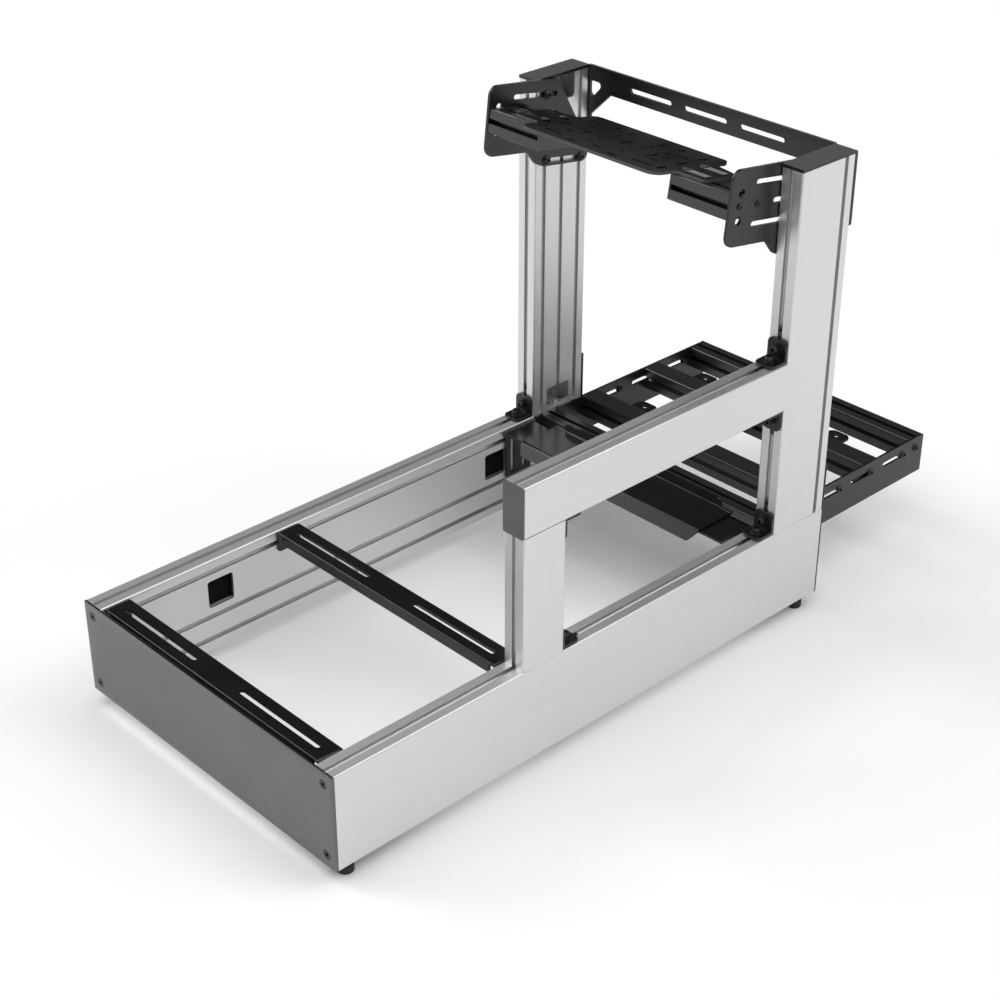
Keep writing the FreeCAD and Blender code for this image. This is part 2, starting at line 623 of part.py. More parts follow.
# Heel plate: flat rest with a sloped rear lip and a raised front flange
heel = new_body("heel_plate")
thick = size("sheet_thick")
HEEL_EDGE = HALF_GAP - size("heel_side_gap")
section = new_sketch(heel, "YZ_Plane")
depth, flange, lip = size("heel_depth"), size("heel_flange"), size("heel_lip_drop")
draw_outline(section, bent_strip(
    [(-size("heel_lip_back"), -lip), (0.0, 0.0), (depth, 0.0), (depth, flange)][::-1],
    thick, size("bend_inside")))
add_pad(heel, section, "Sizes.frame_width - 2 * Sizes.cell_size - 2 * Sizes.heel_side_gap", both=True)
corners = new_sketch(heel, "XZ_Plane")
FLANGE_END = HEEL_EDGE - size("heel_flange_inset")
FLANGE_CORNER = size("heel_flange_corner")
LIP_LOW = -lip - thick
for side in (-1, 1):
    draw_outline(corners, [(side * p[0],) + p[1:] for p in [
        (HEEL_EDGE + 1, 1.0), (HEEL_EDGE + 1, flange + 1), (FLANGE_END - FLANGE_CORNER, flange + 1),
        (FLANGE_END - FLANGE_CORNER, flange), (FLANGE_END, flange, FLANGE_CORNER - 1), (FLANGE_END, 1.0)]])
    draw_outline(corners, [(side * p[0],) + p[1:] for p in [
        (HEEL_EDGE, -thick - 1), (HEEL_EDGE + 1, -thick - 1), (HEEL_EDGE + 1, LIP_LOW - 1),
        (HEEL_EDGE - 2 * size("heel_lip_taper"), LIP_LOW - 1),
        (HEEL_EDGE - 2 * size("heel_lip_taper"), LIP_LOW + 4),
        (HEEL_EDGE - size("heel_lip_taper"), LIP_LOW + 4, 6.0)]])
cut_through(heel, corners)
place(heel, "0", HEEL_REAR, RAIL_HEAD)

# Heel brackets: slotted angles on the rails' inner faces, flange under the heel plate
drop, span, inset = size("heel_bracket_drop"), size("heel_bracket_span"), size("heel_leg_inset")
for side, hand in ((-1, "left"), (1, "right")):
    hold = new_body("heel_bracket_" + hand)
    section = new_sketch(hold, "XZ_Plane")
    path = [(-side * size("heel_bracket_reach"), -thick), (0.0, -thick), (0.0, -drop)]
    draw_outline(section, bent_strip(path[::-side], thick, size("bend_inside")))
    add_pad(hold, section, "Sizes.heel_bracket_span", back=True)
    slots = new_sketch(hold, "YZ_Plane")
    for way in (-1, 1):
        draw_slot(slots, (span + way * size("heel_slot_pitch")) / 2,
                  -drop / 2 - 6.0, drop - 24.0, size("bolt_hole"), 90.0)
    for edge, inner in ((-1.0, inset), (span + 1.0, span - inset)):
        draw_box(slots, min(edge, inner), -drop - 1, max(edge, inner), -3 * thick)
    cut_depth(hold, slots, "Sizes.sheet_thick + 1", back=side < 0)
    place(hold, INNER_FACE % side, HEEL_REAR + " + Sizes.heel_bracket_inset", RAIL_HEAD)

# Levelling feet in the rails' bottom grooves
FOOT_AT = {"rear": "Sizes.end_plate_thick + Sizes.foot_rear_inset",
           "front": RAIL_FRONT + " - Sizes.foot_front_inset"}
for side, hand in ((-1, "left"), (1, "right")):
    for end in ("rear", "front"):
        foot = new_body("foot_%s_%s" % (end, hand))
        profile = new_sketch(foot, "XZ_Plane")
        disc, nut, stud = size("foot_disc") / 2, size("foot_nut") / 2, size("foot_stud") / 2
        low, seat_face = -size("foot_rise"), -size("foot_nut_rise")
        draw_outline(profile, [
            (0, low), (disc, low, 1.0), (disc, low + size("foot_disc_rise"), 2.0),
            (stud + 2, low + size("foot_disc_rise")), (stud + 2, seat_face), (nut, seat_face),
            (nut, 0), (stud, 0),
            (stud, size("foot_stud_depth")), (0, size("foot_stud_depth"))])
        spin = foot.newObject("PartDesign::Revolution", foot.Name + "_turn")
        spin.Profile = profile
        spin.ReferenceAxis = (profile, ["V_Axis"])
        spin.Angle = 360.0
        foot.Tip = spin
        place(foot, RAIL_LINE % side, FOOT_AT[end], "0")

# Check and write each sub-part
doc.recompute()
for item in doc.Objects:
    if "Invalid" in item.State or "Error" in item.State:
        raise RuntimeError("%s is in state %s" % (item.Name, item.State))
os.makedirs("parts", exist_ok=True)
for item in doc.Objects:
    if item.TypeId != "PartDesign::Body":
        continue
    shape = item.Shape
    if shape.isNull() or not shape.isValid() or len(shape.Solids) != 1:
        raise RuntimeError("%s has no single valid solid" % item.Label)
    shape.exportStep("parts/%s.step" % item.Label)
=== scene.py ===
"""Looks of a bolted sim racing cockpit: satin profiles, coated plates, screws, plain studio."""

import math

import bmesh
import bpy
from mathutils import Matrix, Vector


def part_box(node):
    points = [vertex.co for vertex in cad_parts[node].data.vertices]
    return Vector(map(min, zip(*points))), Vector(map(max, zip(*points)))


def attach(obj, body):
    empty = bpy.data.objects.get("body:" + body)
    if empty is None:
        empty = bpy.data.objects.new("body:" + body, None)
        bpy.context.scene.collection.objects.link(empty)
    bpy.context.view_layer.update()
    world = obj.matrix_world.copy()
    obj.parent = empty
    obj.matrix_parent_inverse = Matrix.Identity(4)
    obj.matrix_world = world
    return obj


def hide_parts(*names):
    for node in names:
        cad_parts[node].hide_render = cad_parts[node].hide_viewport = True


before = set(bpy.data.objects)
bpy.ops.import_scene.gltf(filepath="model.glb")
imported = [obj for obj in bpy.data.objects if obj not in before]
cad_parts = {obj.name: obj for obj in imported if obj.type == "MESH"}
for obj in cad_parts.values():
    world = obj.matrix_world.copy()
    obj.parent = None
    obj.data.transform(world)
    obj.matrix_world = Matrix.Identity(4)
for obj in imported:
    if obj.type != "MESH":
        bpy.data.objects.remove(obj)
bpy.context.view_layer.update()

# Places on the rig, read from its nodes, in metres
MM = 0.001
SIDES = {"left": -1, "right": 1}
RAIL_LOW, RAIL_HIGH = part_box("rail_right")
POST_LOW, POST_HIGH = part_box("upright_right")
PLATE_LOW, PLATE_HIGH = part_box("rear_end_plate")
EAR_LOW, EAR_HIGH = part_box("wheel_ear_right")
DECK_LOW, DECK_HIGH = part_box("wheel_deck")
CELL = RAIL_HIGH.x - RAIL_LOW.x
RAIL_LINE = (RAIL_LOW.x + RAIL_HIGH.x) / 2
INNER_FACE = RAIL_LOW.x
SHEET = PLATE_HIGH.y - PLATE_LOW.y
EAR_THICK = EAR_HIGH.x - EAR_LOW.x

# The wheel deck leans forward, with a narrower neck at each end
LEAN = math.radians(9.0)
DECK_UP = Vector((0, math.sin(LEAN), math.cos(LEAN)))
DECK_AHEAD = Vector((0, math.cos(LEAN), -math.sin(LEAN)))
DECK_THICK = 5 * MM
DECK_NECK = 57 * MM

# Small radius on every sheet edge, and the turn between faces that counts as an edge
EASE = 0.8 * MM
EASE_STEPS = 2
EASED_TURN = math.radians(40)
SHARP_TURN = math.radians(35)
WELD_GAP = 0.01 * MM

# Screws and washers
ROUND = 24
THREAD = 8 * MM
SHANK = 10 * MM
HOLE = 8.5 * MM
SOCKET_CHAMFER = (0.35 * MM, 0.2 * MM)
SMALL_SOCKET = 5 * MM
CAP_WIDTH = 13 * MM
CAP_RISE = 8 * MM
CAP_SOCKET = 6 * MM
CAP_ROUNDING = 0.8 * MM
CAP_ROUNDING_MIDDLE = 0.25 * MM
BUTTON_WIDTH = 14 * MM
BUTTON_RISE = 4.4 * MM
BUTTON_FLOOR = 0.35 * BUTTON_RISE
BUTTON_MOUTH = 66
BUTTON_DOME = (62, 48, 34, 20, 8)
LOW_WIDTH = 10 * MM
LOW_RISE = 2 * MM
LOW_CHAMFER = 0.5 * MM
SUNK_WIDTH = 16 * MM
SUNK_RISE = 4.0 * MM
SUNK_FLOOR = 0.7 * SUNK_RISE
SUNK_BELOW = 0.15 * MM
SUNK_FLAT_IN = 0.5 * MM
SUNK_EDGE_IN = 0.2 * MM
SUNK_EDGE_DOWN = 0.4 * MM
SUNK_PLAY = 0.15 * MM
SUNK_GAP = 0.2 * MM
CUT_BELOW = 10 * MM
CUT_ABOVE = 1 * MM
WASHER_WIDTH = 17 * MM
WASHER_RISE = 1.6 * MM
WASHER_CHAMFER = 0.3 * MM

# Patterns of the finishes: how fine they are, to the metre
DRAW_LINES, DRAW_RUN = 900.0, 4.0
TONE_BANDS, TONE_RUN = 60.0, 1.2
PEEL = 0.5 / (0.35 * MM)
CLOUDS = 14.0
STEEL_WEAR = 700.0
LEATHER = 1400.0

# Their detail, the range that each fills, and what share of the tone the first one has
LINE_DETAIL, BAND_DETAIL, GRAIN_DETAIL = 4.0, 2.0, 3.0
LINE_RANGE, LINE_SHARE = (0.3, 0.7), 0.6
CLOUD_RANGE, CLOUD_SHARE = (0.35, 0.65), 0.7
WEAR_TONE = 0.2

# How much they change the roughness, and their relief
LINE_ROUGHNESS = 0.06
CLOUD_ROUGHNESS, PEEL_ROUGHNESS = 0.12, 0.08
WEAR_ROUGHNESS = 0.2
LEATHER_ROUGHNESS = 0.15
LINE_RELIEF, PEEL_RELIEF, WEAR_RELIEF, LEATHER_RELIEF = 0.03, 0.25, 0.1, 0.3
FINE_DEPTH, PEEL_DEPTH = 0.05 * MM, 0.06 * MM

# How far a face points up, from 0 to 1, where its top tone of painted light or shade and its top
# roughness begin and where they are full
TOP_FROM, TOP_FULL = 0.8, 0.9

# The wheel deck's rim of painted light, its outer edge painted lighter as if lit: its reach in from
# the rear, the necks' ends and their rears
LIT_RIM_REAR = 12 * MM
LIT_RIM_END = 3.5 * MM
LIT_RIM_NECK = 51 * MM
LIT_RIM_FADE = 1 * MM


class Wire:
    """A socket of a node tree, on which sums are written as expressions."""

    def __init__(self, tree, socket):
        self.tree = tree
        self.socket = socket

    def __add__(self, other):
        return self.tree.sum("ADD", self, other)

    def __sub__(self, other):
        return self.tree.sum("SUBTRACT", self, other)

    def __rsub__(self, other):
        return self.tree.sum("SUBTRACT", other, self)

    def __mul__(self, other):
        return self.tree.sum("MULTIPLY", self, other)

    __radd__ = __add__
    __rmul__ = __mul__


class Tree:
    """The nodes of a material or of the world."""

    def __init__(self, owner):
        owner.use_nodes = True
        self.nodes = owner.node_tree.nodes
        self.links = owner.node_tree.links

    def put(self, socket, value):
        if isinstance(value, Wire):
            self.links.new(value.socket, socket)
        else:
            socket.default_value = value

    def node(self, kind, settings, sockets, output=0):
        """Adds one node: its settings first, then the values or links of its sockets."""
        made = self.nodes.new(kind)
        for name, value in settings.items():
            setattr(made, name, value)
        for key, value in sockets.items():
            self.put(made.inputs[key], value)
        return Wire(self, made.outputs[output])

    def sum(self, operation, first, second):
        return self.node("ShaderNodeMath", {"operation": operation}, {0: first, 1: second})

    def unsigned(self, value):
        return self.node("ShaderNodeMath", {"operation": "ABSOLUTE"}, {0: value})

    def blend(self, amount, first, second):
        """A grey or tinted colour between two, by an amount from 0 to 1."""
        colours = {0: amount, 6: first, 7: second}
        return self.node("ShaderNodeMix", {"data_type": "RGBA"}, colours, 2)

    def spread(self, value, low, high):
        """A value brought from the range low to high onto 0 to 1."""
        return self.node("ShaderNodeMapRange", {}, {0: value, 1: low, 2: high})

    def noise(self, where, scale, detail):
        return self.node("ShaderNodeTexNoise", {},
                         {"Vector": where, "Scale": scale, "Detail": detail})

    def part(self, vector, axis):
        """One of the three numbers of a vector."""
        return self.node("ShaderNodeSeparateXYZ", {}, {"Vector": vector}, axis)

    def place(self):
        """The piece's own coordinates."""
        return self.node("ShaderNodeTexCoord", {}, {}, "Object")

    def stretched_place(self, scale):
        """The piece's own coordinates, scaled on each axis."""
        return self.node("ShaderNodeMapping", {}, {"Vector": self.place(), "Scale": scale})

    def bump(self, height, strength, distance):
        return self.node("ShaderNodeBump", {},
                         {"Height": height, "Strength": strength, "Distance": distance})

    def surface(self, **sockets):
        """Sets sockets of the plain surface, each by its name with _ for a space."""
        shader = self.nodes["Principled BSDF"].inputs
        for name, value in sockets.items():
            self.put(shader[name.replace("_", " ")], value)


def grey(level):
    return (level, level, level, 1.0)


def new_finish(name):
    """A material and its tree."""
    material = bpy.data.materials.new(name)
    return material, Tree(material)


# Finishes. Each has two tones that its pattern goes between

def drawn_along(run, fine, coarse):
    """Scales of a pattern drawn out along one axis."""
    return tuple(coarse if axis == run else fine for axis in "xyz")


def extruded(name, run, dark, light, metal, rough, gloss=0.5):
    """Anodised profile: faint draw lines along its run, and a slow change of tone."""
    material, tree = new_finish(name)
    line_place = tree.stretched_place(drawn_along(run, DRAW_LINES, DRAW_RUN))
    band_place = tree.stretched_place(drawn_along(run, TONE_BANDS, TONE_RUN))
    lines = tree.noise(line_place, 1.0, LINE_DETAIL)
    bands = tree.noise(band_place, 1.0, BAND_DETAIL)
    tone = tree.spread(lines * LINE_SHARE + bands * (1 - LINE_SHARE), *LINE_RANGE)
    uneven = lines * LINE_ROUGHNESS + (rough - LINE_ROUGHNESS / 2)
    tree.surface(Base_Color=tree.blend(tone, dark, light), Metallic=metal, Roughness=uneven,
                 Specular_IOR_Level=gloss, Normal=tree.bump(lines, LINE_RELIEF, FINE_DEPTH))
    return material


def deck_painted_light_rim(tree, where):
    """Mask of painted light on the wheel deck's outer edge: above 0 at its rear and round its
    necks, 0 over its slots.
    """
    across = tree.unsigned(tree.part(where, "X"))
    rear = DECK_LOW.y * DECK_AHEAD.y + DECK_HIGH.z * DECK_AHEAD.z
    ahead = tree.part(where, "Y") * DECK_AHEAD.y + tree.part(where, "Z") * DECK_AHEAD.z - rear
    neck = DECK_HIGH.x - DECK_NECK
    half_fade = LIT_RIM_FADE / 2
    at_rear = tree.spread(ahead, LIT_RIM_REAR + LIT_RIM_FADE, LIT_RIM_REAR - LIT_RIM_FADE)
    at_neck_rear = tree.spread(ahead, LIT_RIM_NECK + LIT_RIM_FADE, LIT_RIM_NECK - LIT_RIM_FADE)
    past_neck, at_end = [tree.spread(across, end - LIT_RIM_END - half_fade, end - LIT_RIM_END + half_fade)
                         for end in (neck, DECK_HIGH.x)]
    return at_rear + past_neck * at_neck_rear + at_end


def coated(name, dark, light, rough, top=None, top_rough=None, rim=None, gloss=0.5):
    """Powder coat on sheet: fine orange peel with slightly uneven gloss.

    Faces that point up get a tone of their own, which is painted light or painted shade,
    or a roughness of their own, and the wheel deck's outer edge gets the rim's lighter tone, a
    painted highlight, where these are given.
    """
    material, tree = new_finish(name)
    where = tree.place()
    peel = tree.noise(where, PEEL, GRAIN_DETAIL)
    cloud = tree.noise(where, CLOUDS, GRAIN_DETAIL)
    mottle = tree.spread(cloud * CLOUD_SHARE + peel * (1 - CLOUD_SHARE), *CLOUD_RANGE)
    tone = tree.blend(mottle, dark, light)
    facing = tree.node("ShaderNodeNewGeometry", {}, {}, "True Normal")
    pointing_up = tree.spread(tree.part(facing, "Z"), TOP_FROM, TOP_FULL)
    # Painted light or painted shade: faces that point up get a lighter or darker tone than the
    # sides
    if top:
        tone = tree.blend(pointing_up, tone, top)
    if rim:
        # Painted highlight: the deck's outer edge, except faces that point up, is lighter as if lit
        tone = tree.blend(deck_painted_light_rim(tree, where) * (1 - pointing_up), tone, rim)
    uneven = (cloud * CLOUD_ROUGHNESS + peel * PEEL_ROUGHNESS
              + (rough - (CLOUD_ROUGHNESS + PEEL_ROUGHNESS) / 2))
    if top_rough:
        uneven = uneven + pointing_up * (top_rough - rough)
    tree.surface(Base_Color=tone, Roughness=uneven, Specular_IOR_Level=gloss,
                 Normal=tree.bump(peel, PEEL_RELIEF, PEEL_DEPTH))
    return material


def steel(name, tone, rough, metal):
    """Turned and rolled steel: screws, washers and nuts."""
    material, tree = new_finish(name)
    wear = tree.noise(tree.place(), STEEL_WEAR, GRAIN_DETAIL)
    dark, light = grey(tone * (1 - WEAR_TONE)), grey(tone * (1 + WEAR_TONE))
    tree.surface(Base_Color=tree.blend(wear, dark, light), Metallic=metal,
                 Roughness=wear * WEAR_ROUGHNESS + (rough - WEAR_ROUGHNESS / 2),
                 Normal=tree.bump(wear, WEAR_RELIEF, FINE_DEPTH))
    return material


def moulded(name, dark, light, rough, gloss=0.5):
    """Matt rubber or plastic with a fine leathery grain."""
    material, tree = new_finish(name)
    grain = tree.node("ShaderNodeTexVoronoi", {}, {"Vector": tree.place(), "Scale": LEATHER})
    tree.surface(Base_Color=tree.blend(grain, dark, light), Specular_IOR_Level=gloss,
                 Roughness=grain * LEATHER_ROUGHNESS + rough,
                 Normal=tree.bump(grain, LEATHER_RELIEF, FINE_DEPTH))
    return material


ALUMINIUM = {run: extruded("satin_aluminium_" + run, run, grey(0.71), grey(0.74),
                           metal=1.0, rough=0.46) for run in "yz"}
BLACK_PROFILE = extruded("black_profile", "x", grey(0.006), grey(0.010),
                         metal=0.0, rough=0.32, gloss=0.8)
BLACK_PLATE = coated("black_plate", grey(0.005), grey(0.008), rough=0.33, top_rough=0.20)
# The deck's rim tone is a painted highlight on its outer edge
DECK_PLATE = coated("deck_plate", grey(0.003), grey(0.006), rough=0.45,
                    rim=grey(0.085), gloss=0.17)
# The cross plate's faces that point up are painted lighter: painted light on its top
TOP_LIT_PLATE = coated("top_lit_plate", grey(0.005), grey(0.008), rough=0.33, top=grey(0.070))
# The end plate's faces that point up are painted near-black: painted shade on its top edges
GREY_PLATE_SHADED_TOP = coated("grey_plate", grey(0.11), grey(0.135), rough=0.40,
                    top=grey(0.008), top_rough=0.22)
GREY_CAP = coated("grey_cap", grey(0.085), grey(0.11), rough=0.42)
FOOT_RUBBER = moulded("foot_rubber", grey(0.012), grey(0.02), rough=0.6)
# A near-black sheet finish that stands in for shade in hollows: painted shade
HOLLOW_SHADE = moulded("hollow_shade", grey(0.003), grey(0.005), rough=0.8, gloss=0.15)
BLACK_STEEL = steel("black_steel", tone=0.05, rough=0.32, metal=0.9)
GREY_STEEL = steel("grey_steel", tone=0.24, rough=0.3, metal=0.3)

# Finishes of single nodes, and of the rest by their slot
NODE_FINISH = {"rail_left": ALUMINIUM["y"], "rail_right": ALUMINIUM["y"],
               "shifter_arm": ALUMINIUM["y"], "shifter_leg": ALUMINIUM["z"],
               "upright_left": ALUMINIUM["z"], "upright_right": ALUMINIUM["z"],
               "cross_plate": TOP_LIT_PLATE, "wheel_deck": DECK_PLATE}
SLOT_FINISH = {"black_profile": BLACK_PROFILE, "black_plate": BLACK_PLATE,
               "grey_plate": GREY_PLATE_SHADED_TOP, "grey_cap": GREY_CAP, "foot_rubber": FOOT_RUBBER}


def dress_frame():
    """Gives each node of the frame its finish and a small radius on its edges."""
    for name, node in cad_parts.items():
        slot = node.data.materials[0].name
        node.material_slots[0].material = NODE_FINISH.get(name, SLOT_FINISH.get(slot))
        weld = node.modifiers.new("weld", "WELD")
        weld.merge_threshold = WELD_GAP
        soft = node.modifiers.new("soft_edges", "BEVEL")
        soft.width = EASE
        soft.segments = EASE_STEPS
        soft.limit_method = "ANGLE"
        soft.angle_limit = EASED_TURN
        soft.harden_normals = True


dress_frame()


# Pieces in the making

def add_ring(shape, radius, level, sides=ROUND):
    """Lays one closed ring of edges about Z: round, or with fewer sides and as many corners."""
    before = set(shape.edges)
    level_plane = Matrix.Translation((0, 0, level))
    bmesh.ops.create_circle(shape, segments=sides, radius=radius, matrix=level_plane)
    if sides < ROUND:
        fresh = [edge for edge in shape.edges if edge not in before]
        bmesh.ops.subdivide_edges(shape, edges=fresh, cuts=ROUND // sides - 1)
    return [edge for edge in shape.edges if edge not in before]


def add_turned(shape, rings, at, out, bored=False):
    """Adds a closed piece through a stack of rings, standing at a point and pointing out."""
    first = len(shape.verts)
    loops = [add_ring(shape, *ring) for ring in rings]
    for low, high in zip(loops, loops[1:]):
        bmesh.ops.bridge_loops(shape, edges=low + high)
    if bored:
        bmesh.ops.bridge_loops(shape, edges=loops[-1] + loops[0])
    else:
        bmesh.ops.contextual_create(shape, geom=loops[0])
        bmesh.ops.contextual_create(shape, geom=loops[-1])
    shape.verts.ensure_lookup_table()
    turn = Vector(out).to_track_quat("Z", "Y").to_matrix().to_4x4()
    bmesh.ops.transform(shape, matrix=Matrix.Translation(at) @ turn, verts=shape.verts[first:])


def add_block(shape, middle, spans, ease, turn=None):
    """Adds a block with eased edges about its middle."""
    stretch = Matrix.Diagonal(Vector(spans).to_4d())
    fresh = bmesh.ops.create_cube(shape, size=1.0, matrix=stretch)["verts"]
    edges = list({edge for vert in fresh for edge in vert.link_edges})
    done = bmesh.ops.bevel(shape, geom=edges, offset=ease, segments=EASE_STEPS, profile=0.5,
                           affect="EDGES", material=-1)
    whole = {vert for face in done["faces"] for vert in face.verts}
    stand = Matrix.Translation(middle) @ (turn or Matrix.Identity(4))
    bmesh.ops.transform(shape, matrix=stand, verts=list(whole))


def smooth_faces(mesh):
    mesh.shade_smooth()
    mesh.set_sharp_from_angle(angle=SHARP_TURN)


def finish_piece(name, shape, material):
    """Makes an object of a mesh in the making, smooth but for its edges."""
    bmesh.ops.recalc_face_normals(shape, faces=shape.faces)
    mesh = bpy.data.meshes.new(name)
    shape.to_mesh(mesh)
    shape.free()
    mesh.materials.append(material)
    smooth_faces(mesh)
    piece = bpy.data.objects.new(name, mesh)
    bpy.context.scene.collection.objects.link(piece)
    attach(piece, "root")
    return piece


# Screws and washers, as rings from the socket's floor over the head to the shank's end

def socket_rings(across, floor, top):
    """A six-sided socket, from its floor up to its chamfered mouth."""
    corner = across / math.sqrt(3)
    wider, deep = SOCKET_CHAMFER
    return [(corner, floor, 6), (corner, top - deep, 6), (corner + wider, top)]


def shank_rings(width):
    """The flat under a head, and the shank."""
    return [(width / 2, 0.0), (THREAD / 2, 0.0), (THREAD / 2, -SHANK)]


def cap_rings():
    """A tall round head with a rounded rim."""
    return socket_rings(CAP_SOCKET, CAP_RISE / 2, CAP_RISE) + [
        (CAP_WIDTH / 2 - CAP_ROUNDING, CAP_RISE),
        (CAP_WIDTH / 2 - CAP_ROUNDING_MIDDLE, CAP_RISE - CAP_ROUNDING_MIDDLE),
        (CAP_WIDTH / 2, CAP_RISE - CAP_ROUNDING)] + shank_rings(CAP_WIDTH)


def button_rings():
    """A low domed head, its socket's mouth and its dome's rings at turns up from the rim."""
    mouth = BUTTON_RISE * math.sin(math.radians(BUTTON_MOUTH))
    dome = [(BUTTON_WIDTH / 2 * math.cos(turn), BUTTON_RISE * math.sin(turn))
            for turn in map(math.radians, BUTTON_DOME)]
    return socket_rings(SMALL_SOCKET, BUTTON_FLOOR, mouth) + dome + shank_rings(BUTTON_WIDTH)


def low_rings():
    """A thin flat head."""
    return socket_rings(SMALL_SOCKET, LOW_RISE / 4, LOW_RISE) + [
        (LOW_WIDTH / 2 - LOW_CHAMFER, LOW_RISE),
        (LOW_WIDTH / 2, LOW_RISE - LOW_CHAMFER)] + shank_rings(LOW_WIDTH)


def sunk_rings():
    """A countersunk screw, its flat head just below the face."""
    return socket_rings(SMALL_SOCKET, -SUNK_FLOOR, -SUNK_BELOW) + [
        (SUNK_WIDTH / 2 - SUNK_FLAT_IN, -SUNK_BELOW),
        (SUNK_WIDTH / 2 - SUNK_EDGE_IN, -SUNK_EDGE_DOWN),
        (THREAD / 2, -SUNK_RISE - SUNK_GAP), (THREAD / 2, -SUNK_RISE - SHANK)]


def countersink_rings():
    """The hole that takes a countersunk screw, from below the sheet to above its face."""
    mouth = SUNK_WIDTH / 2 + SUNK_PLAY
    return [(HOLE / 2, -CUT_BELOW), (HOLE / 2, -SUNK_RISE), (SUNK_WIDTH / 2, -SUNK_BELOW),
            (mouth, 0.0), (mouth, CUT_ABOVE)]


def washer_rings():
    outer, inner = WASHER_WIDTH / 2, HOLE / 2
    return [(inner, 0.0), (inner, WASHER_RISE), (outer - WASHER_CHAMFER, WASHER_RISE),
            (outer, WASHER_RISE - WASHER_CHAMFER), (outer, 0.0)]


def fasten(name, places, rings, washer=None):
    """One object of like screws, and one of their washers.

    A place is a point and the way out of the face.
    """
    screws = bmesh.new()
    lift = WASHER_RISE if washer else 0.0
    for at, out in places:
        add_turned(screws, rings(), Vector(at) + lift * Vector(out), out)
    finish_piece("screws_" + name, screws, BLACK_STEEL)
    if washer:
        discs = bmesh.new()
        for at, out in places:
            add_turned(discs, washer_rings(), at, out, bored=True)
        finish_piece("washers_" + name, discs, washer)


# Plates with countersunk screws

def cut_from(piece, cutter_shape):
    """Cuts a shape out of a piece and leaves a plain mesh."""
    bmesh.ops.recalc_face_normals(cutter_shape, faces=cutter_shape.faces)
    mesh = bpy.data.meshes.new("cutter")
    cutter_shape.to_mesh(mesh)
    cutter_shape.free()
    cutter = bpy.data.objects.new("cutter", mesh)
    bpy.context.scene.collection.objects.link(cutter)
    cut = piece.modifiers.new("cut", "BOOLEAN")
    cut.operation = "DIFFERENCE"
    cut.object = cutter
    cut.solver = "EXACT"
    depsgraph = bpy.context.evaluated_depsgraph_get()
    done = bpy.data.meshes.new_from_object(piece.evaluated_get(depsgraph))
    piece.modifiers.clear()
    piece.data = done
    bpy.data.objects.remove(cutter)
    bpy.data.meshes.remove(mesh)
    smooth_faces(piece.data)


def sunk_plate(name, points, out, material):
    """A plate of the frame again, with a countersink round each screw hole, and its screws."""
    low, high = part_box(name)
    plate = bmesh.new()
    stretch = Matrix.Translation((low + high) / 2) @ Matrix.Diagonal((high - low).to_4d())
    bmesh.ops.create_cube(plate, size=1.0, matrix=stretch)
    bmesh.ops.bevel(plate, geom=plate.edges, offset=EASE, segments=EASE_STEPS, profile=0.5,
                    affect="EDGES", material=-1)
    piece = finish_piece(name + "_dressed", plate, material)
    holes = bmesh.new()
    for at in points:
        add_turned(holes, countersink_rings(), at, out)
    cut_from(piece, holes)
    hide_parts(name)
    fasten(name, [(at, out) for at in points], sunk_rings)


def end_plate_screws():
    levels = (RAIL_LOW.z + CELL / 2, RAIL_HIGH.z - CELL / 2)
    points = [(side * RAIL_LINE, PLATE_LOW.y, level) for side in SIDES.values() for level in levels]
    sunk_plate("rear_end_plate", points, (0, -1, 0), GREY_PLATE_SHADED_TOP)


def joining_plate_screws():
    levels = (RAIL_LOW.z + CELL / 2, RAIL_HIGH.z - CELL / 2,
              POST_LOW.z + CELL / 2, POST_LOW.z + 1.5 * CELL)
    for hand, side in SIDES.items():
        name = "front_joining_plate_" + hand
        points = [(side * RAIL_LINE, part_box(name)[1].y, level) for level in levels]
        sunk_plate(name, points, (0, 1, 0), BLACK_PLATE)


end_plate_screws()
joining_plate_screws()


# Corner brackets. Each has two walls: the ways they run along Y and rise along Z

BRACKETS = {"rail_post_left": (-1, 1), "rail_post_right": (-1, 1), "arm_post_upper": (-1, 1),
            "arm_post_lower": (-1, -1), "arm_leg": (1, -1), "leg_rail": (1, 1)}
BRACKET_HOLE = 21 * MM
BRACKET_WALL = 5 * MM
NUT_SPAN = 22 * MM
NUT_WIDTH = 7.8 * MM
NUT_DEPTH = 4 * MM
NUT_BELOW = 0.4 * MM


def bracket_screws():
    """Two cap screws in each corner bracket, one in each wall, and the ends of their slot nuts."""
    nuts = bmesh.new()
    for name, (run, rise) in BRACKETS.items():
        low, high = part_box("bracket_" + name)
        corner = Vector(((low.x + high.x) / 2, high.y if run < 0 else low.y,
                         low.z if rise > 0 else high.z))
        flat = corner + Vector((0, run * BRACKET_HOLE, rise * BRACKET_WALL))
        wall = corner + Vector((0, run * BRACKET_WALL, rise * BRACKET_HOLE))
        fasten("bracket_" + name, [(flat, (0, 0, rise)), (wall, (0, run, 0))], cap_rings,
               washer=BLACK_STEEL)
        reach, sink = high.y - low.y, NUT_BELOW + NUT_DEPTH / 2
        lying = corner + Vector((0, run * reach, -rise * sink))
        standing = corner + Vector((0, -run * sink, rise * reach))
        add_block(nuts, lying, (NUT_WIDTH, NUT_SPAN, NUT_DEPTH), EASE)
        add_block(nuts, standing, (NUT_WIDTH, NUT_DEPTH, NUT_SPAN), EASE)
    finish_piece("slot_nuts", nuts, BLACK_STEEL)


